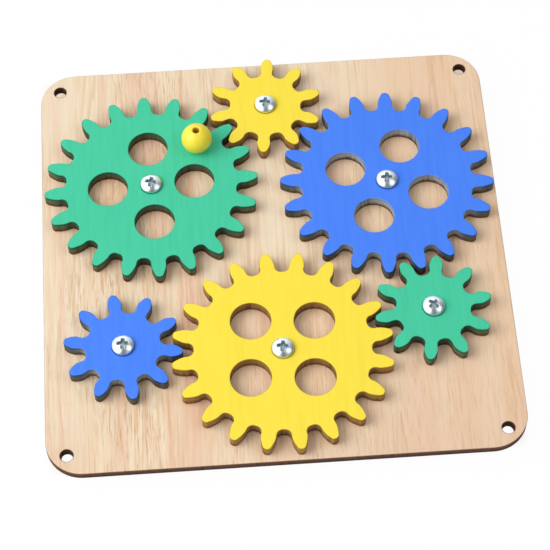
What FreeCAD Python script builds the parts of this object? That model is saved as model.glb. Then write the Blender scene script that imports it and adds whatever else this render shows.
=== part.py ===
import FreeCAD, Part
import math
import os

# A wooden gear board: six plywood spur gears stand on one square board and
# mesh one after the other, so turning the big green gear by its bead turns all.
# Millimetres and degrees. X runs right, Y away from the user, Z up, and the
# origin is under the middle of the board, level with the ends of the screws.

# Backing board
BOARD_SIDE = 200.0
BOARD_THICKNESS = 4.0
BOARD_CORNER_RADIUS = 15.5
CORNER_HOLE_SPACING = 182.5
CORNER_HOLE_RADIUS = 2.75

# Gear train, from the cranked gear to the last one:
# name, teeth, pivot X, pivot Y, direction of one tooth
GEARS = [
    ("green_crank_gear", 20, -51.5, 34.5, 2.4),
    ("yellow_pinion", 10, 1.2, 73.5, 12.5),
    ("blue_gear", 20, 52.0, 29.5, 67.8),
    ("green_pinion", 10, 65.7, -35.5, 9.0),
    ("yellow_gear", 20, 0.6, -51.1, 41.8),
    ("blue_pinion", 10, -66.3, -45.2, 26.7),
]
GEAR_THICKNESS = 5.7
GEAR_BORE_RADIUS = 2.6

# Tooth form, shared by all six gears
MODULE = 4.34
PRESSURE_ANGLE = 20.0
ADDENDUM = 3.6
DEDENDUM = 5.85
TOOTH_THINNING = 1.2
TIP_ROUNDING = 1.85
ROOT_FILLET = 2.65
INVOLUTE_POINTS = 5

# Round windows in the three big gears, each in line with a tooth
WINDOWED_TEETH = 20
WINDOW_COUNT = 4
WINDOW_RADIUS = 8.7
WINDOW_CIRCLE_RADIUS = 19.05

# Pivot screw, M5 x 16 pan head with a cross recess
SCREW_RADIUS = 2.5
SCREW_LENGTH = 16.0
SCREW_TIP_CHAMFER = 0.6
HEAD_RADIUS = 4.7
HEAD_HEIGHT = 2.9
HEAD_WALL = 1.2
RECESS_LENGTH = 4.8
RECESS_FLOOR_LENGTH = 2.2
RECESS_WIDTH = 1.15
RECESS_DEPTH = 2.0

# Shim washers under the gears and flat washers behind the board
WASHER_RADIUS = 5.0
WASHER_BORE_RADIUS = 2.65
SPACER_THICKNESS = 0.3
BACK_WASHER_THICKNESS = 1.0
BOARD_PIVOT_RADIUS = 2.6

# Lock nut with a nylon collar insert
NUT_ACROSS_FLATS = 8.0
NUT_HEIGHT = 4.7
NUT_HEX_HEIGHT = 3.3
NUT_CORNER_CHAMFER = 0.35
COLLAR_RADIUS = 3.7
COLLAR_LIP_RADIUS = 3.25
COLLAR_MOUTH_RADIUS = 2.75
INSERT_RADIUS = 3.1
INSERT_HEIGHT = 1.1
INSERT_SETBACK = 0.3

# Crank bead and the screw that holds it from below
BEAD_RADIUS = 6.7
BEAD_FOOT_RADIUS = 2.2
BEAD_MOUTH_RADIUS = 2.0
BEAD_MOUTH_DEPTH = 0.5
BEAD_CIRCLE_RADIUS = 28.3
BEAD_DIRECTION = 41.8
BEAD_SCREW_RADIUS = 1.45
BEAD_SCREW_LENGTH = 12.0
BEAD_SCREW_POINT = 2.5
BEAD_SCREW_HEAD_RADIUS = 3.0
BEAD_RECESS_LENGTH = 3.4
BEAD_RECESS_FLOOR_LENGTH = 1.4
BEAD_RECESS_WIDTH = 0.8
BEAD_RECESS_DEPTH = 1.1

# Play of each gear between its spacer washer and the screw's head
PLAY_BELOW = 0.1
PLAY_ABOVE = 0.2

# Levels of the stack, worked out from the screw's end upwards
NUT_TOP = NUT_HEIGHT
BOARD_BOTTOM = NUT_TOP + BACK_WASHER_THICKNESS
BOARD_TOP = BOARD_BOTTOM + BOARD_THICKNESS
SPACER_TOP = BOARD_TOP + SPACER_THICKNESS
GEAR_BOTTOM = SPACER_TOP + PLAY_BELOW
GEAR_TOP = GEAR_BOTTOM + GEAR_THICKNESS
HEAD_BOTTOM = GEAR_TOP + PLAY_ABOVE

UP = FreeCAD.Vector(0, 0, 1)
ORIGIN = FreeCAD.Vector(0, 0, 0)


def polar(radius, angle, z=0.0):
    """A point at a radius and an angle in radians, at height z."""
    return FreeCAD.Vector(radius * math.cos(angle), radius * math.sin(angle), z)


def cylinder(radius, bottom, top, x=0.0, y=0.0):
    """An upright cylinder between two levels."""
    return Part.makeCylinder(radius, top - bottom, FreeCAD.Vector(x, y, bottom), UP)


def ring(outer_radius, inner_radius, bottom, top):
    """An upright ring about the origin between two levels."""
    return cylinder(outer_radius, bottom, top).cut(cylinder(inner_radius, bottom, top))


def revolve(edges):
    """The solid swept by a closed profile in the XZ plane about the Z axis."""
    return Part.Face(Part.Wire(edges)).revolve(ORIGIN, UP, 360)


def profile(points):
    """Straight edges through (radius, height) points, in order."""
    vectors = [FreeCAD.Vector(radius, 0, height) for radius, height in points]
    return [Part.makeLine(a, b) for a, b in zip(vectors, vectors[1:])]


def cross_recess(length, floor_length, width, depth, mouth):
    """Two crossed slots with sloping ends, as tall above the mouth as below."""
    floor = mouth - depth
    roof = mouth + depth
    roof_length = 2 * length - floor_length
    corners = [
        (-floor_length / 2, floor),
        (floor_length / 2, floor),
        (roof_length / 2, roof),
        (-roof_length / 2, roof),
        (-floor_length / 2, floor),
    ]
    outline = Part.Wire(profile(corners))
    outline.translate(FreeCAD.Vector(0, -width / 2, 0))
    slot = Part.Face(outline).extrude(FreeCAD.Vector(0, width, 0))
    crossing = slot.copy()
    crossing.rotate(ORIGIN, UP, 90)
    return slot.fuse(crossing)


def involute_angle(roll):
    """Polar angle that an involute has swept at a roll angle."""
    return roll - math.atan(roll)


def tooth_flank(teeth):
    """One flank, root to tip, as (radius, angle from the tooth's middle)."""
    pitch_radius = MODULE * teeth / 2
    base_radius = pitch_radius * math.cos(math.radians(PRESSURE_ANGLE))
    root_radius = pitch_radius - DEDENDUM
    tip_radius = pitch_radius + ADDENDUM
    pitch_roll = math.tan(math.radians(PRESSURE_ANGLE))
    pitch_half_angle = math.pi / teeth / 2 - TOOTH_THINNING / pitch_radius / 2
    base_half_angle = pitch_half_angle + involute_angle(pitch_roll)

    # The root fillet touches the root circle and the radial foot of the flank
    fillet_centre_radius = root_radius + ROOT_FILLET
    fillet_angle = math.asin(ROOT_FILLET / fillet_centre_radius)
    foot_radius = fillet_centre_radius * math.cos(fillet_angle)
    fillet_centre = polar(fillet_centre_radius, base_half_angle + fillet_angle)
    bisector = base_half_angle + fillet_angle / 2 + 1.25 * math.pi
    fillet_middle = fillet_centre + polar(ROOT_FILLET, bisector)

    # The tip rounding touches the involute and the tip circle from inside:
    # its centre lies on the involute that is drawn inward by the rounding
    centre_radius = tip_radius - TIP_ROUNDING
    centre_string = math.sqrt(centre_radius ** 2 - base_radius ** 2)
    end_roll = (centre_string + TIP_ROUNDING) / base_radius
    string_angle = math.atan(centre_string / base_radius)
    centre_angle = base_half_angle - end_roll + string_angle
    rounding_centre = polar(centre_radius, centre_angle)

    involute = []
    for index in range(INVOLUTE_POINTS):
        roll = end_roll * index / (INVOLUTE_POINTS - 1)
        radius = base_radius * math.sqrt(1 + roll ** 2)
        involute.append(polar(radius, base_half_angle - involute_angle(roll)))
    start_normal = (involute[-1] - rounding_centre).normalize()
    end_normal = polar(1, centre_angle)
    middle_normal = (start_normal + end_normal).normalize()

    return {
        "gap": polar(root_radius, math.pi / teeth),
        "root": polar(root_radius, base_half_angle + fillet_angle),
        "fillet": fillet_middle,
        "foot": polar(foot_radius, base_half_angle),
        "involute": involute,
        "rounding": rounding_centre + middle_normal * TIP_ROUNDING,
        "tip": polar(tip_radius, centre_angle),
        "crest": polar(tip_radius, 0),
    }


def placed(point, side, tooth_angle):
    """A flank point mirrored to a side of its tooth and turned into place."""
    radius = math.hypot(point.x, point.y)
    return polar(radius, tooth_angle + side * math.atan2(point.y, point.x))


def arc(start, middle, end):
    """An arc edge through three points."""
    return Part.Arc(start, middle, end).toShape()


def tooth_edges(flank, tooth_angle, pitch_angle):
    """Edges of one tooth, from its rising flank to the root after it."""
    low = {}
    high = {}
    for name, value in flank.items():
        if name == "involute":
            low[name] = [placed(point, -1, tooth_angle) for point in value]
            high[name] = [placed(point, 1, tooth_angle) for point in value]
        else:
            low[name] = placed(value, -1, tooth_angle)
            high[name] = placed(value, 1, tooth_angle)
    rising = Part.BSplineCurve()
    rising.interpolate(low["involute"])
    falling = Part.BSplineCurve()
    falling.interpolate(high["involute"][::-1])
    next_root = placed(flank["root"], -1, tooth_angle + pitch_angle)
    return [
        arc(low["root"], low["fillet"], low["foot"]),
        Part.makeLine(low["foot"], low["involute"][0]),
        rising.toShape(),
        arc(low["involute"][-1], low["rounding"], low["tip"]),
        arc(low["tip"], low["crest"], high["tip"]),
        arc(high["tip"], high["rounding"], high["involute"][-1]),
        falling.toShape(),
        Part.makeLine(high["involute"][0], high["foot"]),
        arc(high["foot"], high["fillet"], high["root"]),
        arc(high["root"], high["gap"], next_root),
    ]


def gear(teeth, tooth_direction):
    """A flat gear about the origin, with its bore and any windows."""
    flank = tooth_flank(teeth)
    pitch_angle = 2 * math.pi / teeth
    first = math.radians(tooth_direction)
    edges = []
    for index in range(teeth):
        edges += tooth_edges(flank, first + index * pitch_angle, pitch_angle)
    outline = Part.Wire(edges)
    outline.translate(FreeCAD.Vector(0, 0, GEAR_BOTTOM))
    body = Part.Face(outline).extrude(FreeCAD.Vector(0, 0, GEAR_THICKNESS))
    openings = [cylinder(GEAR_BORE_RADIUS, GEAR_BOTTOM, GEAR_TOP)]
    if teeth == WINDOWED_TEETH:
        for index in range(WINDOW_COUNT):
            centre = polar(WINDOW_CIRCLE_RADIUS, first + index * 2 * math.pi / WINDOW_COUNT)
            openings.append(cylinder(WINDOW_RADIUS, GEAR_BOTTOM, GEAR_TOP, centre.x, centre.y))
    return body.cut(openings)


def backing_board():
    """The square plywood board with its corner holes and pivot holes."""
    half = BOARD_SIDE / 2
    corner = FreeCAD.Vector(-half, -half, BOARD_BOTTOM)
    blank = Part.makeBox(BOARD_SIDE, BOARD_SIDE, BOARD_THICKNESS, corner)
    uprights = [edge for edge in blank.Edges if edge.BoundBox.ZLength > BOARD_THICKNESS / 2]
    board = blank.makeFillet(BOARD_CORNER_RADIUS, uprights)
    reach = CORNER_HOLE_SPACING / 2
    holes = []
    for x in (-reach, reach):
        for y in (-reach, reach):
            holes.append(cylinder(CORNER_HOLE_RADIUS, BOARD_BOTTOM, BOARD_TOP, x, y))
    for _, _, x, y, _ in GEARS:
        holes.append(cylinder(BOARD_PIVOT_RADIUS, BOARD_BOTTOM, BOARD_TOP, x, y))
    return board.cut(holes)


def pivot_screw():
    """A pan head screw, head up, with its end at the lowest level."""
    head_top = HEAD_BOTTOM + HEAD_HEIGHT
    end = HEAD_BOTTOM - SCREW_LENGTH
    sides = profile([
        (0, head_top),
        (0, end),
        (SCREW_RADIUS - SCREW_TIP_CHAMFER, end),
        (SCREW_RADIUS, end + SCREW_TIP_CHAMFER),
        (SCREW_RADIUS, HEAD_BOTTOM),
        (HEAD_RADIUS, HEAD_BOTTOM),
        (HEAD_RADIUS, HEAD_BOTTOM + HEAD_WALL),
    ])
    dome_rise = HEAD_HEIGHT - HEAD_WALL
    dome_radius = (HEAD_RADIUS ** 2 + dome_rise ** 2) / dome_rise / 2
    half_way = HEAD_RADIUS / 2
    half_way_height = head_top - dome_radius + math.sqrt(dome_radius ** 2 - half_way ** 2)
    dome = arc(
        FreeCAD.Vector(HEAD_RADIUS, 0, HEAD_BOTTOM + HEAD_WALL),
        FreeCAD.Vector(half_way, 0, half_way_height),
        FreeCAD.Vector(0, 0, head_top),
    )
    recess = cross_recess(
        RECESS_LENGTH, RECESS_FLOOR_LENGTH, RECESS_WIDTH, RECESS_DEPTH, head_top)
    return revolve(sides + [dome]).cut(recess)


def lock_nut():
    """A hexagon nut, its bearing face up, with a rolled collar below."""
    hex_bottom = NUT_TOP - NUT_HEX_HEIGHT
    corner_radius = NUT_ACROSS_FLATS / math.sqrt(3)
    corners = [polar(corner_radius, math.radians(60 * index), hex_bottom) for index in range(7)]
    hexagon = Part.Face(Part.makePolygon(corners)).extrude(UP * NUT_HEX_HEIGHT)
    flat_radius = corner_radius - NUT_CORNER_CHAMFER * math.sqrt(3)
    turned = revolve(profile([
        (0, hex_bottom),
        (corner_radius, hex_bottom),
        (corner_radius, NUT_TOP - NUT_CORNER_CHAMFER),
        (flat_radius, NUT_TOP),
        (0, NUT_TOP),
        (0, hex_bottom),
    ]))
    collar = revolve(profile([
        (0, 0),
        (COLLAR_LIP_RADIUS, 0),
        (COLLAR_RADIUS, COLLAR_RADIUS - COLLAR_LIP_RADIUS),
        (COLLAR_RADIUS, hex_bottom),
        (0, hex_bottom),
        (0, 0),
    ]))
    bore = cylinder(SCREW_RADIUS, 0, NUT_TOP)
    mouth = cylinder(COLLAR_MOUTH_RADIUS, 0, INSERT_SETBACK)
    pocket = cylinder(INSERT_RADIUS, INSERT_SETBACK, INSERT_SETBACK + INSERT_HEIGHT)
    return hexagon.common(turned).fuse(collar).cut([bore, mouth, pocket])


def nut_insert():
    """The nylon ring that is rolled into the nut's collar."""
    return ring(INSERT_RADIUS, SCREW_RADIUS, INSERT_SETBACK, INSERT_SETBACK + INSERT_HEIGHT)


def bead_screw_cutter():
    """The countersunk screw without its recess, which is also its hole."""
    cone = BEAD_SCREW_HEAD_RADIUS - BEAD_SCREW_RADIUS
    end = GEAR_BOTTOM + BEAD_SCREW_LENGTH
    return revolve(profile([
        (0, GEAR_BOTTOM),
        (BEAD_SCREW_HEAD_RADIUS, GEAR_BOTTOM),
        (BEAD_SCREW_RADIUS, GEAR_BOTTOM + cone),
        (BEAD_SCREW_RADIUS, end - BEAD_SCREW_POINT),
        (0, end),
        (0, GEAR_BOTTOM),
    ]))


def bead_screw():
    """The countersunk screw, head down, with its cross recess below."""
    recess = cross_recess(
        BEAD_RECESS_LENGTH, BEAD_RECESS_FLOOR_LENGTH, BEAD_RECESS_WIDTH, BEAD_RECESS_DEPTH, 0)
    recess.rotate(ORIGIN, FreeCAD.Vector(1, 0, 0), 180)
    recess.translate(UP * GEAR_BOTTOM)
    return bead_screw_cutter().cut(recess)


def crank_bead():
    """A drilled ball, flat where it sits on the gear and round its mouth."""
    foot_drop = math.sqrt(BEAD_RADIUS ** 2 - BEAD_FOOT_RADIUS ** 2)
    mouth_rise = math.sqrt(BEAD_RADIUS ** 2 - BEAD_MOUTH_RADIUS ** 2)
    middle = GEAR_TOP + foot_drop
    top = middle + mouth_rise
    sides = profile([
        (BEAD_MOUTH_RADIUS, top),
        (BEAD_SCREW_RADIUS, top - BEAD_MOUTH_DEPTH),
        (BEAD_SCREW_RADIUS, GEAR_TOP),
        (BEAD_FOOT_RADIUS, GEAR_TOP),
    ])
    ball = arc(
        FreeCAD.Vector(BEAD_FOOT_RADIUS, 0, GEAR_TOP),
        FreeCAD.Vector(BEAD_RADIUS, 0, middle),
        FreeCAD.Vector(BEAD_MOUTH_RADIUS, 0, top),
    )
    return revolve(sides + [ball])


def save(shape, name, x=0.0, y=0.0):
    """Move a shape from the origin to its pivot and write it as one file."""
    shape.translate(FreeCAD.Vector(x, y, 0))
    shape.exportStep(os.path.join("parts", name + ".step"))


os.makedirs("parts", exist_ok=True)

save(backing_board(), "backing_board")

bead_place = polar(BEAD_CIRCLE_RADIUS, math.radians(BEAD_DIRECTION))
for name, teeth, x, y, tooth_direction in GEARS:
    wheel = gear(teeth, tooth_direction)
    if name == "green_crank_gear":
        bead_hole = bead_screw_cutter()
        bead_hole.translate(bead_place)
        wheel = wheel.cut(bead_hole)
        save(bead_screw(), "bead_screw", x + bead_place.x, y + bead_place.y)
        save(crank_bead(), "crank_bead", x + bead_place.x, y + bead_place.y)
    save(wheel, name, x, y)
    save(pivot_screw(), name + "_screw", x, y)
    save(ring(WASHER_RADIUS, WASHER_BORE_RADIUS, BOARD_TOP, SPACER_TOP), name + "_spacer", x, y)
    save(ring(WASHER_RADIUS, WASHER_BORE_RADIUS, NUT_TOP, BOARD_BOTTOM), name + "_back_washer", x, y)
    save(lock_nut(), name + "_lock_nut", x, y)
    save(nut_insert(), name + "_nut_insert", x, y)
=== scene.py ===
import bmesh
import bpy
import numpy as np
from mathutils import Matrix, Vector
from mathutils.geometry import tessellate_polygon


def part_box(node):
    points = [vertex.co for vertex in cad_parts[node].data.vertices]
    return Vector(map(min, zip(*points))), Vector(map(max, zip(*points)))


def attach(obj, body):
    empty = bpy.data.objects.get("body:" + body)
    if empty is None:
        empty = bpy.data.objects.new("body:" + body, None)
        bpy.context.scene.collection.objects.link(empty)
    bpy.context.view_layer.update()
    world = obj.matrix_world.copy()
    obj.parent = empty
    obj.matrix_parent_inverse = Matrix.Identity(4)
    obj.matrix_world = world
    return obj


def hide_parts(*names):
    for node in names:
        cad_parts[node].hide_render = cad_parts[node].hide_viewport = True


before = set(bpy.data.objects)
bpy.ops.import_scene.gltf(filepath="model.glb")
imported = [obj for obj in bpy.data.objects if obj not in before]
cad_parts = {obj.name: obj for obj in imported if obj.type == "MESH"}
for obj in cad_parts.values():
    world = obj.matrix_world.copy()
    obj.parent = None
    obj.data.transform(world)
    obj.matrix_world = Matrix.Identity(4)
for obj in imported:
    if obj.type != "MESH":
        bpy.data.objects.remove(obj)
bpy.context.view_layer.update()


# ---------------------------------------------------------------- the camera
# A long lens in front of the toy and well above it, turned a little to the
# toy's left and rolled by less than a degree. Its places are from the middle
# of the board's upper face.

MM = 0.001
PICTURE_PIXELS = 550
FOCAL_PIXELS = 2045.5
SENSOR_WIDTH = 36
NEAR_CLIP = 0.05
CAMERA_ROLL = np.radians(-0.845)

board_low, board_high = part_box("backing_board")
board_top = board_high.z
board_middle = Vector((0, 0, board_top))
camera_place = Vector((-24.32, -456.02, 762.13)) * MM + board_middle
camera_target = Vector((-0.13, -11.63, 0)) * MM + board_middle

lens = bpy.data.cameras.new("camera")
lens.sensor_width = SENSOR_WIDTH
lens.lens = FOCAL_PIXELS / PICTURE_PIXELS * SENSOR_WIDTH
lens.clip_start = NEAR_CLIP
camera = bpy.data.objects.new("camera", lens)
bpy.context.scene.collection.objects.link(camera)
aim = (camera_target - camera_place).to_track_quat("-Z", "Y").to_matrix()
camera.rotation_mode = "QUATERNION"
camera.rotation_quaternion = (aim @ Matrix.Rotation(CAMERA_ROLL, 3, "Z")).to_quaternion()
camera.location = camera_place
bpy.context.scene.camera = camera
bpy.context.scene.view_settings.view_transform = "Standard"


# ------------------------------------------------------- the floor and lights
# A white table in a white room that is brighter to the left. A wide soft lamp
# on the left is the main light, and a small one on the right fills in.

def linear(red, green, blue):
    """A screen colour of 0 to 255 as linear light: the sRGB curve undone."""
    share = np.array((red, green, blue)) / 255
    light = np.where(share <= 0.04045, share / 12.92, ((share + 0.055) / 1.055) ** 2.4)
    return (*light.tolist(), 1.0)


def new_material(name):
    """An empty node material and its node tree."""
    material = bpy.data.materials.new(name)
    material.use_nodes = True
    material.node_tree.nodes.clear()
    return material, material.node_tree


def add(tree, kind, values=None, **settings):
    """One node of a kind, with settings on it and values or links on inputs."""
    node = tree.nodes.new(kind)
    for name, value in settings.items():
        setattr(node, name, value)
    for name, value in (values or {}).items():
        if isinstance(value, bpy.types.NodeSocket):
            tree.links.new(value, node.inputs[name])
        else:
            node.inputs[name].default_value = value
    return node


def calculate(tree, operation, first, second=0.0):
    """One step of arithmetic on values or sockets."""
    return add(tree, "ShaderNodeMath", {0: first, 1: second}, operation=operation).outputs[0]


def times(tree, product, *factors):
    """The product of values or sockets."""
    for factor in factors:
        product = calculate(tree, "MULTIPLY", product, factor)
    return product


def ramp(tree, value, low, high, to_low=0.0, to_high=1.0, course="LINEAR"):
    """A value stretched from one range to another, straight, and held at its
    ends.
    """
    node = add(tree, "ShaderNodeMapRange", {"Value": value, "From Min": low, "From Max": high,
                                            "To Min": to_low, "To Max": to_high},
               interpolation_type=course)
    return node.outputs["Result"]


def spread(tree, value, low, high, to_low=0.0, to_high=1.0):
    """As ramp does, but with a smooth start and end."""
    return ramp(tree, value, low, high, to_low, to_high, "SMOOTHSTEP")


def blend(tree, factor, first, second):
    """A colour mixed from two, by a factor that may be a socket."""
    node = add(tree, "ShaderNodeMix", {0: factor, 6: first, 7: second}, data_type="RGBA")
    return node.outputs[2]


def choose(tree, factor, first, second):
    """A number mixed from two, by a factor that may be a socket."""
    node = add(tree, "ShaderNodeMix", {0: factor, 2: first, 3: second}, data_type="FLOAT")
    return node.outputs[0]


def distance(tree, here, place):
    """How far a place is from the point that is shaded."""
    node = add(tree, "ShaderNodeVectorMath", {0: here, 1: place}, operation="DISTANCE")
    return node.outputs["Value"]


def mesh_piece(name, points, faces, material):
    """A smooth mesh object at the origin from point and face arrays."""
    mesh = bpy.data.meshes.new(name)
    mesh.from_pydata(np.asarray(points).tolist(), [], faces)
    mesh.shade_smooth()
    mesh.materials.append(material)
    piece = bpy.data.objects.new(name, mesh)
    bpy.context.scene.collection.objects.link(piece)
    return piece


# Seen straight, the table is plain white but for a soft shadow under the
# board, which stands 5.7 mm above it. Each edge of the shadow is given by
# where it starts and where it is full. Light falls through the near corner
# holes, and leaves a lit spot under each. In the shadow, less of the table
# is plain and more of it is lit by the lamps.
TABLE_REACH = 3.0
SHADOW_NEAR_EDGE = (-0.0965, -0.088)
SHADOW_FAR_EDGE = (0.1055, 0.0965)
SHADOW_SIDE_EDGE = (0.101, 0.093)
LIT_SPOT_X = 0.0915
LIT_SPOT_Y = -0.0857
LIT_SPOT_EDGE = (0.0035, 0.008)
PLAIN_SHARE_BY_SHADOW = (0.0, 1.0, 0.97, 0.60)

table_material, tree = new_material("white_table")
here = add(tree, "ShaderNodeTexCoord").outputs["Object"]
along = add(tree, "ShaderNodeSeparateXYZ", {0: here}).outputs
sideways = calculate(tree, "ABSOLUTE", along["X"])
shadow = times(tree, spread(tree, along["Y"], *SHADOW_NEAR_EDGE),
               spread(tree, along["Y"], *SHADOW_FAR_EDGE),
               spread(tree, sideways, *SHADOW_SIDE_EDGE))
for side in (-1, 1):
    from_spot = distance(tree, here, (side * LIT_SPOT_X, LIT_SPOT_Y, 0))
    shadow = times(tree, shadow, spread(tree, from_spot, *LIT_SPOT_EDGE))
matte = add(tree, "ShaderNodeBsdfDiffuse", {"Color": linear(246, 246, 246)})
shade = blend(tree, shadow, linear(255, 255, 255), linear(240, 216, 192))
plain = add(tree, "ShaderNodeEmission", {"Color": shade, "Strength": 1.0})
eye = add(tree, "ShaderNodeLightPath").outputs
plainness = ramp(tree, shadow, *PLAIN_SHARE_BY_SHADOW)
mixed = add(tree, "ShaderNodeMixShader", {0: times(tree, eye["Is Camera Ray"], plainness),
                                          1: matte.outputs[0], 2: plain.outputs[0]})
add(tree, "ShaderNodeOutputMaterial", {"Surface": mixed.outputs[0]})

floor = mesh_piece("floor", [(-TABLE_REACH, -TABLE_REACH, 0), (TABLE_REACH, -TABLE_REACH, 0),
                             (TABLE_REACH, TABLE_REACH, 0), (-TABLE_REACH, TABLE_REACH, 0)],
                   [(0, 1, 2, 3)], table_material)

# Seen straight, the room is plain white. It lights the toy with a glow that
# is stronger from above, from the sides and from the left. Metal mirrors a
# pale room, bright at the back and dull on the right, with the user's dark
# outline in front. Each line says from where to where a strength changes,
# along one axis of a direction of length 1 or by a share, and both strengths.
GLOW_BY_HEIGHT = (0.0, 0.6, 0.34, 0.60)
GLOW_TO_SIDES = (0.05, 0.30, 0.72, 1.0)
GLOW_TO_RIGHT = (-0.8, 0.8, 1.35, 0.55)
USER_SIDES = (0.50, 0.20, 0.0, 1.0)
USER_FAR_EDGE = (0.42, 0.10, 0.0, 1.0)
GLEAM_IN_USER = (0.0, 1.0, 0.98, 0.20)
GLEAM_TO_RIGHT = (0.1, 0.9, 1.0, 0.15)
GLEAM_TO_BACK = (0.3, 0.8, 1.0, 1.5)

world = bpy.data.worlds.new("room")
bpy.context.scene.world = world
world.use_nodes = True
tree = world.node_tree
tree.nodes.clear()
direction = add(tree, "ShaderNodeTexCoord").outputs["Generated"]
along = add(tree, "ShaderNodeSeparateXYZ", {0: direction}).outputs
sideways = calculate(tree, "ABSOLUTE", along["X"])
glow = times(tree, ramp(tree, along["Z"], *GLOW_BY_HEIGHT),
             ramp(tree, sideways, *GLOW_TO_SIDES), ramp(tree, along["X"], *GLOW_TO_RIGHT))
user = times(tree, ramp(tree, sideways, *USER_SIDES), ramp(tree, along["Y"], *USER_FAR_EDGE))
gleam = times(tree, ramp(tree, user, *GLEAM_IN_USER), ramp(tree, along["X"], *GLEAM_TO_RIGHT),
              ramp(tree, along["Y"], *GLEAM_TO_BACK))
eye = add(tree, "ShaderNodeLightPath").outputs
strength = choose(tree, eye["Is Glossy Ray"], glow, gleam)
strength = choose(tree, eye["Is Camera Ray"], strength, 1.0)
room = add(tree, "ShaderNodeBackground", {"Color": linear(255, 255, 255), "Strength": strength})
add(tree, "ShaderNodeOutputWorld", {"Surface": room.outputs[0]})


def lamp(name, place, size, watts):
    """A square soft lamp that points at the middle of the toy."""
    light = bpy.data.lights.new(name, "AREA")
    light.size = size
    light.energy = watts
    holder = bpy.data.objects.new(name, light)
    bpy.context.scene.collection.objects.link(holder)
    holder.location = place
    holder.rotation_mode = "QUATERNION"
    holder.rotation_quaternion = (-Vector(place)).to_track_quat("-Z", "Y")


lamp("left_lamp", place=(-0.80, -0.14, 0.86), size=0.90, watts=9.4)
lamp("right_lamp", place=(0.62, -0.14, 0.80), size=0.56, watts=1.4)


# ------------------------------------------------------------ the board
# A square of thin plywood with its grain running away from the user, cut by
# a laser: its outline, four corner holes and six pivot holes have scorched
# walls. The corner holes take screws that hang the toy on a wall.

BOARD_CORNER_RADIUS = 15.5 * MM
CORNER_HOLE_SPACING = 182.5 * MM
CORNER_HOLE_RADIUS = 2.75 * MM
CORNER_HOLE_TAPER = 0.35 * MM
PIVOT_HOLE_RADIUS = 2.6 * MM
ARRIS = 0.25 * MM
RIM = 0.8 * MM
QUARTER_POINTS = 4
WALL_POINTS = 5
CORNER_POINTS = 17
CORNER_HOLE_POINTS = 40
BORE_POINTS = 32
LARGE_TEETH = 20
SMALL_TEETH = 10
gear_teeth = {
    "green_crank_gear": LARGE_TEETH,
    "yellow_pinion": SMALL_TEETH,
    "blue_gear": LARGE_TEETH,
    "green_pinion": SMALL_TEETH,
    "yellow_gear": LARGE_TEETH,
    "blue_pinion": SMALL_TEETH,
}


def middle(node):
    """The middle of a CAD node's box, seen from above."""
    low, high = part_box(node)
    return np.array(((low.x + high.x) / 2, (low.y + high.y) / 2))


pivots = {name: middle(name + "_screw") for name in gear_teeth}


def polar(radius, angle):
    """Plane points at a radius and an angle."""
    return np.stack((radius * np.cos(angle), radius * np.sin(angle)), axis=-1)


def circle(centre, radius, count, turn=1):
    """Points round a circle, counterclockwise, or clockwise for turn -1."""
    return centre + polar(radius, turn * np.linspace(0, 2 * np.pi, count, endpoint=False))


def inset(outline, step):
    """A closed outline moved to its left, square to its neighbours' chord."""
    ahead = np.roll(outline, -1, axis=0) - np.roll(outline, 1, axis=0)
    ahead /= np.linalg.norm(ahead, axis=1, keepdims=True)
    left = np.column_stack((-ahead[:, 1], ahead[:, 0]))
    return outline + left * step


def capped(points, rings, upward):
    """Triangles that fill the flat face between rings of point numbers: cut
    by Blender, then turned over where their signed area points the wrong way.
    """
    loops = [[Vector((*points[i, :2], 0)) for i in ring] for ring in rings]
    caps = np.concatenate(rings)[np.array(tessellate_polygon(loops))]
    a, b, c = (points[caps[:, k], :2] for k in range(3))
    across, along = b - a, c - a
    area = across[:, 0] * along[:, 1] - across[:, 1] * along[:, 0]
    wrong = area < 0 if upward else area > 0
    caps[wrong] = caps[wrong][:, ::-1]
    return caps.tolist()


def plate(name, outlines, bottom, top, material, tapers=None):
    """A flat plate with rounded arrises: one section, carried round each
    outline, runs from a rim on the upper face over a quarter circle, down the
    wall and back under. Outlines keep the wood on their left. The attribute
    edge holds the share across the rim, the share of cut wall and the depth.
    An outline with a taper moves out into the gap by it, in step with depth.
    """
    turn = np.linspace(0, np.pi / 2, QUARTER_POINTS)
    wall = np.linspace(top - ARRIS, bottom + ARRIS, WALL_POINTS)[1:-1]
    insets = np.concatenate(([RIM], ARRIS - ARRIS * np.sin(turn), 0 * wall,
                             ARRIS - ARRIS * np.cos(turn), [RIM]))
    heights = np.concatenate(([top], top - ARRIS + ARRIS * np.cos(turn), wall,
                              bottom + ARRIS - ARRIS * np.sin(turn), [bottom]))
    cut = np.concatenate(([0], np.sin(turn), 0 * wall + 1, np.cos(turn), [0]))
    near = np.ones(len(insets))
    near[[0, -1]] = 0
    depths = (top - heights) / (top - bottom)
    rows = len(insets)
    points, faces, edge, upper_rings, lower_rings = [], [], [], [], []
    start = 0
    for outline, taper in zip(outlines, tapers or [0] * len(outlines)):
        count = len(outline)
        for row in range(rows):
            moved = inset(outline, insets[row] - taper * depths[row])
            points.append(np.column_stack((moved, np.full(count, heights[row]))))
            edge.append(np.tile((near[row], cut[row], depths[row]), (count, 1)))
        grid = start + np.arange(rows * count).reshape(rows, count)
        here, there = grid[:-1], grid[1:]
        quads = np.stack((here, there, np.roll(there, -1, 1), np.roll(here, -1, 1)), axis=2)
        faces += quads.reshape(-1, 4).tolist()
        upper_rings.append(grid[0])
        lower_rings.append(grid[-1])
        start += rows * count
    points = np.vstack(points)
    faces += capped(points, upper_rings, True) + capped(points, lower_rings, False)
    piece = mesh_piece(name, points, faces, material)
    layer = piece.data.attributes.new("edge", "FLOAT_VECTOR", "POINT")
    layer.data.foreach_set("vector", np.vstack(edge).astype(np.float32).ravel())
    return piece


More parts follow.
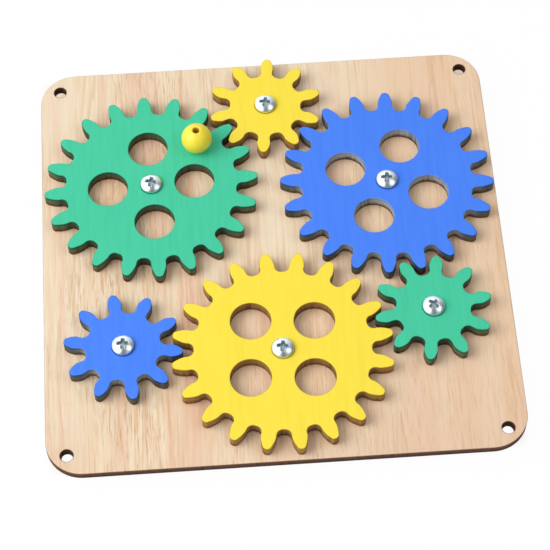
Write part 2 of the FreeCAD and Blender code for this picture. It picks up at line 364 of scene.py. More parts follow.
def stretched(tree, here, stretch):
    """Coordinates stretched along each axis."""
    node = add(tree, "ShaderNodeVectorMath", {0: here, 1: stretch}, operation="MULTIPLY")
    return node.outputs[0]


def noise(tree, here, cells, detail=3.0, rough=0.5):
    """Smooth noise of 0 to 1, with so many cells to the metre along each axis."""
    node = add(tree, "ShaderNodeTexNoise", {"Vector": stretched(tree, here, cells), "Scale": 1.0,
                                            "Detail": detail, "Roughness": rough})
    return node.outputs["Fac"]


def off_middle(tree, value):
    """How far a value of 0 to 1 is from a half."""
    return calculate(tree, "ABSOLUTE", calculate(tree, "SUBTRACT", value, 0.5))


def group(name, inputs, outputs):
    """A shader node group with named inputs and outputs: its tree and ends."""
    tree = bpy.data.node_groups.new(name, "ShaderNodeTree")
    for label, kind, value in inputs:
        socket = tree.interface.new_socket(label, in_out="INPUT", socket_type=kind)
        socket.default_value = value
    for label, kind in outputs:
        tree.interface.new_socket(label, in_out="OUTPUT", socket_type=kind)
    return tree, tree.nodes.new("NodeGroupInput").outputs, tree.nodes.new("NodeGroupOutput").inputs


def place_group(tree, node_group, values):
    """One use of a shared group in a material, with its own values."""
    return add(tree, "ShaderNodeGroup", values, node_tree=node_group).outputs


def surface(tree, relief, strength, depth, values):
    """The material's own shader, with its relief as a bump."""
    bump = add(tree, "ShaderNodeBump", {"Strength": strength, "Distance": depth,
                                        "Height": relief})
    shader = add(tree, "ShaderNodeBsdfPrincipled", {**values, "Normal": bump.outputs[0]})
    add(tree, "ShaderNodeOutputMaterial", {"Surface": shader.outputs[0]})


# Bare planed veneer over a base tone, with its grain along Y: pale and pink
# bands, long soft fibres, fine streaks, growth lines where a slow noise
# crosses even steps, and patches of pores as short dashes. The grain sways a
# little, and the contrast scales all but the lines.
SWAY = 0.009
RINGS = 12.0
wood, given, result = group(
    "bare_wood",
    [("Place", "NodeSocketVector", (0, 0, 0)), ("Base", "NodeSocketColor", linear(242, 220, 190)),
     ("Contrast", "NodeSocketFloat", 1.0)],
    [("Colour", "NodeSocketColor"), ("Lines", "NodeSocketFloat"),
     ("Relief", "NodeSocketFloat")])
bend = noise(wood, given["Place"], (30, 7, 30), 2.0)
shift = add(wood, "ShaderNodeCombineXYZ", {
    "X": times(wood, calculate(wood, "SUBTRACT", bend, 0.5), SWAY)})
swayed = add(wood, "ShaderNodeVectorMath", {0: given["Place"], 1: shift.outputs[0]}).outputs[0]
bands = noise(wood, swayed, (95, 4, 95), 2.0)
pink = noise(wood, given["Place"], (150, 6, 150), 2.0)
fibres = noise(wood, swayed, (640, 36, 640), 3.0, 0.6)
streaks = noise(wood, swayed, (780, 42, 780), 2.0)
growth = noise(wood, swayed, (75, 2.6, 75), 3.0, 0.45)
steps = calculate(wood, "FRACT", times(wood, growth, RINGS))
broken = noise(wood, swayed, (260, 24, 260), 2.0)
lines = times(wood, spread(wood, steps, 0.66, 0.96), spread(wood, broken, 0.42, 0.60))
dashes = noise(wood, swayed, (1900, 130, 1900), 1.0)
patches = noise(wood, given["Place"], (34, 9, 34), 2.0)
pores = times(wood, spread(wood, dashes, 0.54, 0.68), spread(wood, patches, 0.38, 0.60))
tone = given["Base"]
for mask, most, colour in (
        (spread(wood, bands, 0.35, 0.65), 0.60, linear(243, 226, 198)),
        (spread(wood, pink, 0.46, 0.68), 0.60, linear(240, 203, 182)),
        (spread(wood, fibres, 0.30, 0.72), 0.38, linear(222, 177, 128)),
        (spread(wood, streaks, 0.56, 0.70), 0.36, linear(222, 166, 116))):
    tone = blend(wood, times(wood, given["Contrast"], most, mask), tone, colour)
tone = blend(wood, times(wood, lines, 0.28), tone, linear(202, 150, 104))
tone = blend(wood, times(wood, given["Contrast"], 0.34, pores), tone, linear(184, 132, 88))
wood.links.new(tone, result["Colour"])
wood.links.new(lines, result["Lines"])
wood.links.new(calculate(wood, "ADD", lines, pores), result["Relief"])

# Scorched ply wall: a line under the upper arris that runs into the ply's own
# tone, both of which change deep in the gaps, a darker foot, thin glue lines
# and upright streaks of soot. Deep in the gaps the wall takes an inner tone,
# which is scorch with painted light on it: painted shade where it is darker,
# a painted highlight where it is lighter. The darker foot is scorch and
# painted contact shade, and in the gaps it runs into the soot-and-shade tone.
scorch, given, result = group(
    "scorched_ply",
    [("Place", "NodeSocketVector", (0, 0, 0)), ("Depth", "NodeSocketFloat", 0.5),
     ("Gap", "NodeSocketFloat", 0.0), ("Plies", "NodeSocketFloat", 3.0),
     ("Line", "NodeSocketColor", linear(60, 40, 24)),
     ("Ply", "NodeSocketColor", linear(150, 112, 76)),
     ("Inner", "NodeSocketColor", linear(120, 90, 60)),
     ("Foot", "NodeSocketColor", linear(60, 40, 24)),
     ("Soot_and_shade", "NodeSocketColor", linear(40, 26, 16))],
    [("Colour", "NodeSocketColor"), ("Streaks", "NodeSocketFloat")])
streaks = noise(scorch, given["Place"], (620, 620, 60), 3.0, 0.6)
blotches = noise(scorch, given["Place"], (90, 90, 60), 2.0)
ragged = calculate(scorch, "ADD", given["Depth"], times(
    scorch, calculate(scorch, "SUBTRACT", streaks, 0.5), 0.35))
# Deep in the gaps the ply and the line take the inner tone: painted light on the scorch.
ply = blend(scorch, given["Gap"], given["Ply"], given["Inner"])
crest = blend(scorch, times(scorch, given["Gap"], 0.6), given["Line"], given["Inner"])
# Painted contact shade: in the gaps the foot darkens to the soot-and-shade tone.
foot = blend(scorch, times(scorch, given["Gap"], 0.35), given["Foot"], given["Soot_and_shade"])
tone = blend(scorch, spread(scorch, ragged, 0.04, 0.46), crest, ply)
tone = blend(scorch, spread(scorch, ragged, 0.34, 0.96), tone, foot)
layers = calculate(scorch, "ADD", times(scorch, given["Depth"], given["Plies"]), 0.5)
from_glue = off_middle(scorch, calculate(scorch, "FRACT", layers))
glue = times(scorch, spread(scorch, from_glue, 0.14, 0.03, 0.0, 0.45),
             spread(scorch, off_middle(scorch, given["Depth"]), 0.46, 0.42))
soot = calculate(scorch, "ADD", streaks, times(scorch, blotches, 0.6))
burn = calculate(scorch, "MAXIMUM", glue, spread(scorch, soot, 0.72, 1.15, 0.0, 0.7))
scorch.links.new(blend(scorch, burn, tone, given["Soot_and_shade"]), result["Colour"])
scorch.links.new(streaks, result["Streaks"])

# The veneer is pale on the left, warmer on the right and darker at the near
# side. Its grain is strongest on the left. Under and round each large gear,
# out past its teeth, the board is painted warmer, a painted warm shade where
# the gear shades it, and its grain is stronger there. Each line says where a
# change starts and where it is full, in metres, and what the grain's contrast
# is there.
LEFT_TO_MIDDLE = (-0.10, -0.02)
MIDDLE_TO_RIGHT = (0.01, 0.075)
MIDDLE_TO_NEAR = (-0.04, -0.11)
NEAR_SHADE = (0.0, 0.5)
GRAIN_AT_LEFT = (-0.095, -0.07, 0.8, 1.35)
GRAIN_TO_RIGHT = (-0.05, 0.01, 1.0, 0.38)
GRAIN_TO_BACK = (-0.03, 0.06, 1.0, 0.72)
SHADE_UNDER_GEAR_EDGE = (0.058, 0.028)
UNDER_GEAR_GRAIN = 0.35

board_material, tree = new_material("bare_board")
here = add(tree, "ShaderNodeTexCoord").outputs["Object"]
edge = add(tree, "ShaderNodeAttribute", attribute_name="edge").outputs["Vector"]
near_rim, cut_wall, depth = add(tree, "ShaderNodeSeparateXYZ", {0: edge}).outputs
across, away, _ = add(tree, "ShaderNodeSeparateXYZ", {0: here}).outputs
base = blend(tree, spread(tree, across, *LEFT_TO_MIDDLE), linear(240, 225, 199),
             linear(244, 227, 199))
base = blend(tree, spread(tree, across, *MIDDLE_TO_RIGHT), base, linear(239, 207, 175))
base = blend(tree, spread(tree, away, *MIDDLE_TO_NEAR, *NEAR_SHADE), base,
             linear(222, 186, 158))
contrast = times(tree, spread(tree, across, *GRAIN_AT_LEFT),
                 spread(tree, across, *GRAIN_TO_RIGHT), spread(tree, away, *GRAIN_TO_BACK))
# Painted warm shade: the board under and round each large gear is warmed, and its grain made
# stronger.
for name, teeth in gear_teeth.items():
    if teeth == LARGE_TEETH:
        from_pivot = distance(tree, here, (*pivots[name], board_top))
        under = spread(tree, from_pivot, *SHADE_UNDER_GEAR_EDGE)
        base = blend(tree, under, base, linear(252, 218, 184))
        contrast = calculate(tree, "ADD", contrast, times(tree, under, UNDER_GEAR_GRAIN))
bare = place_group(tree, wood, {"Place": here, "Base": base, "Contrast": contrast})
folded = add(tree, "ShaderNodeVectorMath", {0: stretched(tree, here, (1, 1, 0))},
             operation="ABSOLUTE").outputs[0]
from_corner_hole = distance(tree, folded, (CORNER_HOLE_SPACING / 2, CORNER_HOLE_SPACING / 2, 0))
in_hole = spread(tree, from_corner_hole, 2 * CORNER_HOLE_RADIUS, 1.5 * CORNER_HOLE_RADIUS)
# Deep in the corner holes the wall is darker: scorch with painted shade.
burnt = place_group(tree, scorch, {
    "Place": here, "Depth": depth, "Gap": in_hole, "Plies": 3.0,
    "Line": linear(116, 78, 52), "Ply": linear(88, 52, 34), "Inner": linear(66, 28, 16),
    "Foot": linear(66, 38, 26), "Soot_and_shade": linear(40, 22, 15)})
singed = times(tree, spread(tree, near_rim, 0.80, 1.0, 0.0, 0.7), in_hole)
face = blend(tree, singed, bare["Colour"], linear(120, 92, 66))
relief = blend(tree, cut_wall, bare["Relief"], burnt["Streaks"])
surface(tree, relief, strength=0.2, depth=0.1 * MM, values={
    "Base Color": blend(tree, cut_wall, face, burnt["Colour"]), "Roughness": 0.62,
    "Specular IOR Level": 0.2})

corner_middle = (board_high.x - board_low.x) / 2 - BOARD_CORNER_RADIUS
corners = []
for quadrant, sides in enumerate(((1, 1), (-1, 1), (-1, -1), (1, -1))):
    angle = np.linspace(0, np.pi / 2, CORNER_POINTS) + quadrant * np.pi / 2
    corners.append(corner_middle * np.array(sides) + polar(BOARD_CORNER_RADIUS, angle))
board_outlines = [np.vstack(corners)]
for sides in ((-1, -1), (-1, 1), (1, -1), (1, 1)):
    centre = np.array(sides) * CORNER_HOLE_SPACING / 2
    board_outlines.append(circle(centre, CORNER_HOLE_RADIUS, CORNER_HOLE_POINTS, -1))
for centre in pivots.values():
    board_outlines.append(circle(centre, PIVOT_HOLE_RADIUS, BORE_POINTS, -1))
hole_tapers = [0] + 4 * [CORNER_HOLE_TAPER] + len(pivots) * [0]

board = plate("board", board_outlines, board_low.z, board_top, board_material, hole_tapers)
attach(board, "board_body")
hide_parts("backing_board")


# ------------------------------------------------------------- the gears
# Six spur gears cut by laser from one thickness of plywood that was painted
# first, so their faces are flat colour and their walls scorched wood. The
# teeth are involute, thinned for play, with round tips and round roots.

MODULE = 4.34 * MM
PRESSURE_ANGLE = np.radians(20.0)
ADDENDUM = 3.6 * MM
DEDENDUM = 5.85 * MM
TOOTH_THINNING = 1.2 * MM
TIP_ROUNDING = 1.85 * MM
ROOT_FILLET = 2.65 * MM
GEAR_BORE_RADIUS = 2.6 * MM
WINDOW_RADIUS = 8.7 * MM
WINDOW_CIRCLE_RADIUS = 19.05 * MM
GAP_POINTS = 4
FILLET_POINTS = 6
INVOLUTE_POINTS = 9
ROUNDING_POINTS = 5
CREST_POINTS = 3
WINDOW_POINTS = 72
SCREW_SHADOW_EDGE = (5.3 * MM, 4.7 * MM)
tooth_directions = {
    "green_crank_gear": 2.4,
    "yellow_pinion": 12.5,
    "blue_gear": 67.8,
    "green_pinion": 9.0,
    "yellow_gear": 41.8,
    "blue_pinion": 26.7,
}


def involute_angle(roll):
    """Polar angle that an involute has swept: the roll less its arctangent."""
    return roll - np.arctan(roll)


def arc_between(centre, start, end, count):
    """Points along the short arc about a centre, without its last point."""
    first = np.arctan2(*(start - centre)[::-1])
    sweep = np.arctan2(*(end - centre)[::-1]) - first
    sweep = (sweep + np.pi) % (2 * np.pi) - np.pi
    angle = first + sweep * np.linspace(0, 1, count, endpoint=False)
    return centre + polar(np.linalg.norm(start - centre), angle)


def half_tooth(teeth):
    """One flank from the middle of the gap to the middle of the tip, with
    the tooth's middle along X: root circle, fillet, radial foot, involute,
    rounding and tip circle, each touching the next.
    """
    pitch_radius = MODULE * teeth / 2
    base_radius = pitch_radius * np.cos(PRESSURE_ANGLE)
    root_radius = pitch_radius - DEDENDUM
    tip_radius = pitch_radius + ADDENDUM
    half_angle = np.pi / teeth / 2 - TOOTH_THINNING / pitch_radius / 2
    half_angle += involute_angle(np.tan(PRESSURE_ANGLE))

    fillet_radius = root_radius + ROOT_FILLET
    fillet_angle = np.arcsin(ROOT_FILLET / fillet_radius)
    fillet_centre = polar(fillet_radius, half_angle + fillet_angle)
    foot = polar(fillet_radius * np.cos(fillet_angle), half_angle)
    root = polar(root_radius, half_angle + fillet_angle)

    rounding_radius = tip_radius - TIP_ROUNDING
    string = np.sqrt(rounding_radius ** 2 - base_radius ** 2)
    end_roll = (string + TIP_ROUNDING) / base_radius
    rounding_angle = half_angle - end_roll + np.arctan(string / base_radius)
    rounding_centre = polar(rounding_radius, rounding_angle)
    roll = np.linspace(0, end_roll, INVOLUTE_POINTS)
    involute = polar(base_radius * np.sqrt(1 + roll ** 2), half_angle - involute_angle(roll))
    tip = polar(tip_radius, rounding_angle)

    gap_angle = np.linspace(np.pi / teeth, half_angle + fillet_angle, GAP_POINTS, endpoint=False)
    crest_angle = np.linspace(rounding_angle, 0, CREST_POINTS)
    return np.vstack((
        polar(root_radius, gap_angle),
        arc_between(fillet_centre, root, foot, FILLET_POINTS),
        foot[None],
        involute[:-1],
        arc_between(rounding_centre, involute[-1], tip, ROUNDING_POINTS),
        polar(tip_radius, crest_angle),
    ))


def gear_outline(teeth, direction, centre):
    """All teeth round a centre, counterclockwise: the flank and its mirror
    image, turned by each tooth's angle.
    """
    flank = half_tooth(teeth)
    mirrored = flank * (1, -1)
    tooth = np.vstack((mirrored, flank[::-1][1:-1]))
    radius = np.linalg.norm(tooth, axis=1)
    angle = np.arctan2(tooth[:, 1], tooth[:, 0])
    turn = direction + 2 * np.pi * np.arange(teeth) / teeth
    return centre + polar(radius[None], angle[None] + turn[:, None]).reshape(-1, 2)


def painted_ply(name, gears, paint, stain, line, ply, inner, foot):
    """Painted plywood: flat paint on the upper face, faintly brushed along
    the grain, with a painted shadow as a dark ring round the screw heads of
    its gears, and a scorched wall below it, which the paint tints and which
    carries painted light and shade deep in its gaps and windows, and bare
    wood beneath.
    """
    material, tree = new_material(name)
    here = add(tree, "ShaderNodeTexCoord").outputs["Object"]
    edge = add(tree, "ShaderNodeAttribute", attribute_name="edge").outputs["Vector"]
    gap = add(tree, "ShaderNodeAttribute", attribute_name="gap").outputs["Fac"]
    _, cut_wall, depth = add(tree, "ShaderNodeSeparateXYZ", {0: edge}).outputs
    bare = place_group(tree, wood, {"Place": here})
    brushed = noise(tree, here, (520, 45, 520), 4.0, 0.6)
    tone = blend(tree, spread(tree, brushed, 0.0, 1.0), paint, stain)
    tone = blend(tree, times(tree, bare["Lines"], 0.05), tone, line)
    # Painted shadow under the screw heads: the face is darkened in a ring round each.
    from_pivot = 1.0
    for gear in gears:
        from_this = distance(tree, stretched(tree, here, (1, 1, 0)), (*pivots[gear], 0))
        from_pivot = calculate(tree, "MINIMUM", from_this, from_pivot)
    tone = blend(tree, spread(tree, from_pivot, *SCREW_SHADOW_EDGE, 0.0, 0.75), tone, line)
    face = blend(tree, spread(tree, depth, 0.9, 0.97), tone, bare["Colour"])
    burnt = place_group(tree, scorch, {
        "Place": here, "Depth": depth, "Gap": gap, "Plies": 5.0, "Line": line, "Ply": ply,
        "Inner": inner, "Foot": foot, "Soot_and_shade": linear(30, 19, 11)})
    relief = blend(tree, cut_wall, times(tree, bare["Lines"], 0.15), burnt["Streaks"])
    surface(tree, relief, strength=0.2, depth=0.1 * MM, values={
        "Base Color": blend(tree, cut_wall, face, burnt["Colour"]),
        "Roughness": ramp(tree, cut_wall, 0.0, 1.0, 0.42, 0.75), "Specular IOR Level": 0.2})
    return material


paints = {
    "green": painted_ply(
        "green_ply", ("green_crank_gear", "green_pinion"),
        paint=linear(76, 208, 166), stain=linear(67, 196, 154), line=linear(34, 108, 80),
        ply=linear(112, 116, 84), inner=linear(60, 84, 66), foot=linear(88, 72, 46)),
    "yellow": painted_ply(
        "yellow_ply", ("yellow_gear", "yellow_pinion"),
        paint=linear(255, 232, 80), stain=linear(248, 223, 66), line=linear(176, 136, 44),
        ply=linear(180, 140, 86), inner=linear(156, 122, 76), foot=linear(132, 92, 60)),
    "blue": painted_ply(
        "blue_ply", ("blue_gear", "blue_pinion"),
        paint=linear(80, 138, 252), stain=linear(68, 127, 246), line=linear(54, 86, 132),
        ply=linear(96, 102, 92), inner=linear(188, 194, 200), foot=linear(94, 78, 58)),
}
# How far a wall takes the inner tone, at the root of a gap and in a window.
# The inner tone is painted light: painted shade on the green and yellow
# walls, which scorch darkens too, and a painted highlight on the blue walls.
root_shares = {"green": 1.0, "yellow": 1.0, "blue": 0.7}
window_shares = {"green": 0.45, "yellow": 0.5, "blue": 0.95}

for name, teeth in gear_teeth.items():
    low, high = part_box(name)
    centre = pivots[name]
    direction = np.radians(tooth_directions[name])
    outlines = [gear_outline(teeth, direction, centre),
                circle(centre, GEAR_BORE_RADIUS, BORE_POINTS, -1)]
    if teeth == LARGE_TEETH:
        for quadrant in range(4):
            window = centre + polar(WINDOW_CIRCLE_RADIUS, direction + quadrant * np.pi / 2)
            outlines.append(circle(window, WINDOW_RADIUS, WINDOW_POINTS, -1))
    paint = name.split("_")[0]
    gear = plate(name + "_wood", outlines, low.z, high.z, paints[paint])
    places = np.empty(len(gear.data.vertices) * 3)
    gear.data.vertices.foreach_get("co", places)
    radius = np.linalg.norm(places.reshape(-1, 3)[:, :2] - centre, axis=1)
    pitch_radius = MODULE * teeth / 2
    gap_share = root_shares[paint] * np.clip((pitch_radius - radius) / DEDENDUM, 0, 1)
    gap_share[radius < pitch_radius - DEDENDUM - 1 * MM] = window_shares[paint]
    layer = gear.data.attributes.new("gap", "FLOAT", "POINT")
    layer.data.foreach_set("value", gap_share.astype(np.float32))
    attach(gear, name + "_body")
    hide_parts(name)


# ------------------------------------------------------- the pivot screws
# Six M5 pan head machine screws in bright zinc, each with a cross recess. A
# gear turns on the shank under the head, with a little play below it.

HEAD_RADIUS = 4.7 * MM
HEAD_HEIGHT = 2.9 * MM
HEAD_WALL = 1.2 * MM
HEAD_PLAY = 0.2 * MM
SCREW_RADIUS = 2.5 * MM
RECESS_LENGTH = 5.2 * MM
RECESS_WIDTH = 1.35 * MM
RECESS_DEPTH = 1.8 * MM
RECESS_FLOOR_SLOPE = 1.8
RECESS_SIDE_SHARE = 0.3
RECESS_CONE_SHARE = 0.24
RECESS_CONE_SLOPE = 3.0
RECESS_SHADE_EDGE = (0.03, 0.35)
FINE_REACH = 2.7 * MM
FINE_ROWS = 46
COARSE_ROWS = 12
HEAD_SOFT_EDGE = 0.25 * MM
SCREW_POINTS = 144
DOUBLES_WITHIN = 2e-6
NO_AREA_WITHIN = 1e-6
recess_turns = {
    "green_crank_gear": -16,
    "yellow_pinion": -13,
    "blue_gear": -5,
    "green_pinion": 43,
    "yellow_gear": -10,
    "blue_pinion": -5,
}


def cross_recess(x, y, z, length, width, depth, turn, level, facing):
    """Depth of a cross recess: four wings with sloping sides and floors that
    rise to their ends, round a small cone. It is cut beyond a level only, on
    the side that it faces: 1 is up and -1 is down.
    """
    first = abs(x * np.cos(turn) + y * np.sin(turn))
    second = abs(y * np.cos(turn) - x * np.sin(turn))
    along, across = np.maximum(first, second), np.minimum(first, second)
    wing = np.clip((length / 2 - along) * RECESS_FLOOR_SLOPE, 0, depth)
    sides = np.clip((width / 2 - across) / (RECESS_SIDE_SHARE * width) + 0.5, 0, 1)
    cone = np.clip((RECESS_CONE_SHARE * length - np.hypot(x, y)) * RECESS_CONE_SLOPE, 0, depth)
    return np.where(facing * (z - level) > 0, np.maximum(wing * sides, cone), 0)


def tidy(piece):
    """Close poles and seams: merge doubles and drop faces left with no area."""
    work = bmesh.new()
    work.from_mesh(piece.data)
    bmesh.ops.remove_doubles(work, verts=work.verts, dist=DOUBLES_WITHIN)
    bmesh.ops.dissolve_degenerate(work, edges=work.edges, dist=NO_AREA_WITHIN)
    bmesh.ops.recalc_face_normals(work, faces=work.faces)
    work.to_mesh(piece.data)
    work.free()


def wound(name, centre, radius, height, material, closed=True, recess=None):
    """Rows of points about an upright axis, one column to an angle, joined
    into a skin. A closed skin returns to its first row. A recess sinks the
    points that it reaches, and the attribute sunk holds their share of it.
    """
    rows, count = radius.shape
    angle = np.linspace(0, 2 * np.pi, count, endpoint=False)
    x, y, z = radius * np.cos(angle), radius * np.sin(angle), height
    if recess:
        sunk = cross_recess(x, y, z, **recess)
        z = z - recess["facing"] * sunk
    points = np.column_stack(((x + centre[0]).ravel(), (y + centre[1]).ravel(), z.ravel()))
    grid = np.arange(rows * count).reshape(rows, count)
    here = grid if closed else grid[:-1]
    there = np.roll(grid, -1, 0) if closed else grid[1:]
    quads = np.stack((here, np.roll(here, -1, 1), np.roll(there, -1, 1), there), axis=2)
    piece = mesh_piece(name, points, quads.reshape(-1, 4).tolist(), material)
    if recess:
        layer = piece.data.attributes.new("sunk", "FLOAT", "POINT")
        layer.data.foreach_set("value", (sunk / sunk.max()).astype(np.float32).ravel())
    tidy(piece)
    return piece


def turned(name, centre, profile, material, count=64, closed=True, recess=None):
    """A profile of (radius, height) rows carried round an upright axis."""
    profile = np.asarray(profile, float)
    radius = np.repeat(profile[:, :1], count, axis=1)
    height = np.repeat(profile[:, 1:], count, axis=1)
    return wound(name, centre, radius, height, material, closed, recess)


zinc_material, tree = new_material("bright_zinc")
here = add(tree, "ShaderNodeTexCoord").outputs["Object"]
sunk = add(tree, "ShaderNodeAttribute", attribute_name="sunk").outputs["Fac"]
# Painted shade: the metal is darker in the recess, as well as rougher.
deep = spread(tree, sunk, *RECESS_SHADE_EDGE)
film = noise(tree, here, (260, 260, 260))
tone = blend(tree, film, linear(230, 241, 247), linear(210, 222, 230))
tone = blend(tree, deep, tone, linear(168, 182, 188))
dull = calculate(tree, "ADD", ramp(tree, film, 0.0, 1.0, 0.24, 0.32), times(tree, deep, 0.25))
surface(tree, film, strength=0.15, depth=0.1 * MM, values={
    "Base Color": tone, "Metallic": 1.0, "Roughness": dull})

# The head's top is the cap of a sphere, whose radius comes from the radius
# and the rise of the cap. Its rows are fine as far as the recess reaches.
dome_rise = HEAD_HEIGHT - HEAD_WALL
dome_radius = (HEAD_RADIUS ** 2 + dome_rise ** 2) / dome_rise / 2
fine = np.linspace(0, FINE_REACH, FINE_ROWS)
coarse = np.linspace(FINE_REACH, HEAD_RADIUS - HEAD_SOFT_EDGE, COARSE_ROWS)[1:]
radii = np.concatenate((fine, coarse))
dome = HEAD_HEIGHT - dome_radius + np.sqrt(dome_radius ** 2 - radii ** 2)
for name, centre in pivots.items():
    screw_low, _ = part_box(name + "_screw")
    _, gear_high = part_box(name)
    under_head = gear_high.z + HEAD_PLAY
    brim = under_head + HEAD_WALL
    sides = [
        (HEAD_RADIUS - 0.08 * MM, brim + 0.02 * MM),
        (HEAD_RADIUS, brim - 0.12 * MM),
        (HEAD_RADIUS, under_head + 0.12 * MM),
        (HEAD_RADIUS - 0.04 * MM, under_head + 0.03 * MM),
        (HEAD_RADIUS - 0.12 * MM, under_head),
        (SCREW_RADIUS + 0.1 * MM, under_head),
        (SCREW_RADIUS, under_head - 0.1 * MM),
        (SCREW_RADIUS, screw_low.z + 0.6 * MM),
        (SCREW_RADIUS - 0.5 * MM, screw_low.z),
        (0, screw_low.z),
    ]
    profile = np.vstack((np.column_stack((radii, under_head + dome)), sides))
    recess = {"length": RECESS_LENGTH, "width": RECESS_WIDTH, "depth": RECESS_DEPTH,
              "turn": np.radians(recess_turns[name]), "level": brim, "facing": 1}
    screw = turned(name + "_pivot_screw", centre, profile, zinc_material, SCREW_POINTS,
                   closed=False, recess=recess)
    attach(screw, "board_body")
    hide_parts(name + "_screw")


# ----------------------------------------------------------- the washers
# A thin steel shim washer under each gear keeps it just clear of the board,
# and a flat one behind the board spreads the nut's load. Both are blanked,
# with soft edges.

WASHER_RADIUS = 5.0 * MM
WASHER_BORE_RADIUS = 2.65 * MM
SOFT_SHARE = 0.25


def ring_profile(inner, outer, bottom, top, soft):
    """The section of a ring: a rectangle with its corners rounded off by
    quarter circles.
    """
    turn = np.linspace(0, np.pi / 2, QUARTER_POINTS)
    middles = ((outer - soft, top - soft), (inner + soft, top - soft),
               (inner + soft, bottom + soft), (outer - soft, bottom + soft))
    return np.vstack([np.array(corner) + polar(soft, turn + quadrant * np.pi / 2)
                      for quadrant, corner in enumerate(middles)])


for name, centre in pivots.items():
    for part in ("spacer", "back_washer"):
        low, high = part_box(f"{name}_{part}")
        soft = SOFT_SHARE * (high.z - low.z)
        profile = ring_profile(WASHER_BORE_RADIUS, WASHER_RADIUS, low.z, high.z, soft)
        washer = turned(f"{name}_{part}_steel", centre, profile, zinc_material)
        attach(washer, "board_body")
        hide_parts(f"{name}_{part}")


# --------------------------------------------------------- the lock nuts
# M5 hexagon nuts behind the board. Each has a round collar, rolled over a
# nylon ring that grips the screw, so the gear stays free to turn.

NUT_ACROSS_FLATS = 8.0 * MM
NUT_HEX_HEIGHT = 3.3 * MM
NUT_BEVEL = 0.6 * MM
NUT_BEVEL_EASE = 0.9
NUT_BORE_BEVEL = 0.3 * MM
COLLAR_RADIUS = 3.7 * MM
COLLAR_ROUNDING = 0.6 * MM
COLLAR_MOUTH_RADIUS = 2.75 * MM
INSERT_RADIUS = 3.1 * MM
INSERT_HEIGHT = 1.1 * MM
INSERT_SETBACK = 0.3 * MM
INSERT_SOFT_EDGE = 0.1 * MM
NUT_POINTS = 120
NUT_ROUNDING_ROWS = 6

nylon_material, tree = new_material("nylon")
here = add(tree, "ShaderNodeTexCoord").outputs["Object"]
cloud = noise(tree, here, (300, 300, 300), 2.0)
tone = blend(tree, cloud, linear(236, 236, 226), linear(220, 220, 208))
surface(tree, cloud, strength=0.1, depth=0.1 * MM, values={
    "Base Color": tone, "Roughness": 0.45, "Subsurface Weight": 0.1})


def lock_nut(name, centre, bottom, top):
    """A nut as rows about its axis, from the hexagon's bevelled top down the
    outside, round the collar's lip and up the bore. In the bevel, a row's
    radius is the lesser of the hexagon's at that angle and a cone's.
    """
    angle = np.linspace(0, 2 * np.pi, NUT_POINTS, endpoint=False)
    hexagon = NUT_ACROSS_FLATS / 2 / np.cos((angle + np.pi / 6) % (np.pi / 3) - np.pi / 6)
    corner = NUT_ACROSS_FLATS / np.sqrt(3)
    shoulder = top - NUT_HEX_HEIGHT
    ring_low = bottom + INSERT_SETBACK
    ring_high = ring_low + INSERT_HEIGHT
    rows = []
    for height in np.linspace(top, top - NUT_BEVEL, NUT_ROUNDING_ROWS):
        cone_radius = corner - (height - (top - NUT_BEVEL)) * np.sqrt(3) * NUT_BEVEL_EASE
        rows.append((np.minimum(hexagon, cone_radius), height))
    rows.append((hexagon, shoulder + 0.15 * MM))
    rows.append((hexagon - 0.12 * MM, shoulder))
    rows.append((COLLAR_RADIUS, shoulder))
    for turn in np.linspace(0, np.pi / 2, NUT_ROUNDING_ROWS):
        rows.append((COLLAR_RADIUS - COLLAR_ROUNDING * (1 - np.cos(turn)),
                     bottom + COLLAR_ROUNDING * (1 - np.sin(turn))))
    rows += [
        (COLLAR_MOUTH_RADIUS, bottom),
        (COLLAR_MOUTH_RADIUS, ring_low),
        (INSERT_RADIUS, ring_low),
        (INSERT_RADIUS, ring_high),
        (SCREW_RADIUS, ring_high),
        (SCREW_RADIUS, top - NUT_BORE_BEVEL),
        (SCREW_RADIUS + NUT_BORE_BEVEL, top),
    ]
    radius = np.array([row_radius + 0 * angle for row_radius, _ in rows])
    height = np.array([row_height + 0 * angle for _, row_height in rows])
    return wound(name, centre, radius, height, zinc_material)


for name, centre in pivots.items():
    low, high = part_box(name + "_lock_nut")
    nut = lock_nut(name + "_nut", centre, low.z, high.z)
    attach(nut, "board_body")
    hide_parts(name + "_lock_nut")
    low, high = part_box(name + "_nut_insert")
    profile = ring_profile(SCREW_RADIUS, INSERT_RADIUS, low.z, high.z, INSERT_SOFT_EDGE)
    insert = turned(name + "_nylon_ring", centre, profile, nylon_material)
    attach(insert, "board_body")
    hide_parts(name + "_nut_insert")


# ------------------------------------------------------------- the bead
# The crank is a turned wooden ball, drilled through and dipped in yellow
# lacquer. It sits on the green gear, and a countersunk screw from below
# holds it, so the upper half of its hole stays open.

BEAD_RADIUS = 6.7 * MM
BEAD_FOOT_RADIUS = 2.2 * MM
BEAD_MOUTH_RADIUS = 2.0 * MM
BEAD_BORE_RADIUS = 1.45 * MM
BEAD_POINTS = 96
BALL_ROWS = 60
LIP_ROWS = 6
BORE_ROW_DEPTH = 3.0 * MM
BORE_SHADE_EDGE = (1.9 * MM, 1.3 * MM)

bead_centre = middle("crank_bead")
bead_material, tree = new_material("yellow_lacquer")
here = add(tree, "ShaderNodeTexCoord").outputs["Object"]
rings = noise(tree, here, (420, 420, 40))
cloud = noise(tree, here, (160, 160, 160), 2.0)
tone = blend(tree, spread(tree, cloud, 0.3, 0.7), linear(255, 238, 68), linear(254, 231, 48))
tone = blend(tree, spread(tree, rings, 0.5, 0.8, 0.0, 0.35), tone, linear(241, 205, 34))
# Painted shade: the lacquer is darker in and round the bore.
from_axis = distance(tree, stretched(tree, here, (1, 1, 0)), (*bead_centre, 0))
tone = blend(tree, spread(tree, from_axis, *BORE_SHADE_EDGE), tone, linear(206, 160, 60))
surface(tree, rings, strength=0.25, depth=0.2 * MM, values={
    "Base Color": tone, "Roughness": 0.45, "Specular IOR Level": 0.4, "Coat Weight": 0.5,
    "Coat Roughness": 0.36})

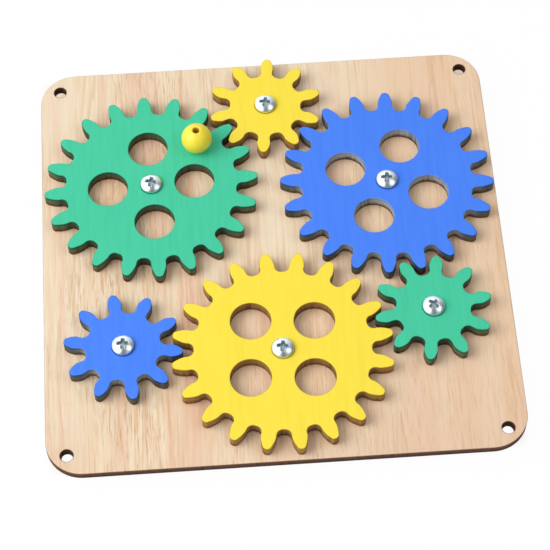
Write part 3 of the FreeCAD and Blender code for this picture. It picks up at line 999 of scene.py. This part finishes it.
# The section is an arc from the ball's flat foot up to its mouth, where a
# quarter round leads into the bore.
low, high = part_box("crank_bead")
ball_middle = low.z + np.sqrt(BEAD_RADIUS ** 2 - BEAD_FOOT_RADIUS ** 2)
swing = np.linspace(-np.arccos(BEAD_FOOT_RADIUS / BEAD_RADIUS),
                    np.arccos(BEAD_MOUTH_RADIUS / BEAD_RADIUS), BALL_ROWS)
ball = polar(BEAD_RADIUS, swing) + (0, ball_middle)
lip = BEAD_MOUTH_RADIUS - BEAD_BORE_RADIUS
turn = np.linspace(0, np.pi / 2, LIP_ROWS)[1:]
mouth = np.column_stack((BEAD_MOUTH_RADIUS - lip * np.sin(turn),
                         high.z - lip * (1 - np.cos(turn))))
bore = ((BEAD_BORE_RADIUS, high.z - BORE_ROW_DEPTH), (BEAD_BORE_RADIUS, low.z))
bead = turned("bead", bead_centre, np.vstack((ball, mouth, bore)), bead_material, BEAD_POINTS)
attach(bead, "green_crank_gear_body")
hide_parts("crank_bead")


# ------------------------------------------------------- the bead's screw
# A small countersunk steel screw, let into the gear's underside, that runs
# up into the bead and holds it on the gear.

FLAT_HEAD_RADIUS = 3.0 * MM
FLAT_HEAD_RECESS = {"length": 3.4 * MM, "width": 0.8 * MM, "depth": 1.1 * MM, "turn": 0}
FLAT_HEAD_REACH = 2.0 * MM
FLAT_HEAD_ROWS = 30
POINT_LENGTH = 2.5 * MM

low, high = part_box("bead_screw")
radii = np.linspace(0, FLAT_HEAD_REACH, FLAT_HEAD_ROWS)
profile = np.vstack((
    np.column_stack((radii, 0 * radii + low.z)),
    [(FLAT_HEAD_RADIUS - 0.15 * MM, low.z),
     (FLAT_HEAD_RADIUS, low.z + 0.12 * MM),
     (BEAD_BORE_RADIUS, low.z + FLAT_HEAD_RADIUS - BEAD_BORE_RADIUS),
     (BEAD_BORE_RADIUS, high.z - POINT_LENGTH),
     (0, high.z)],
))
recess = {**FLAT_HEAD_RECESS, "level": low.z + 0.05 * MM, "facing": -1}
screw = turned("bead_holding_screw", bead_centre, profile, zinc_material, BEAD_POINTS,
               closed=False, recess=recess)
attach(screw, "green_crank_gear_body")
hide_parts("bead_screw")
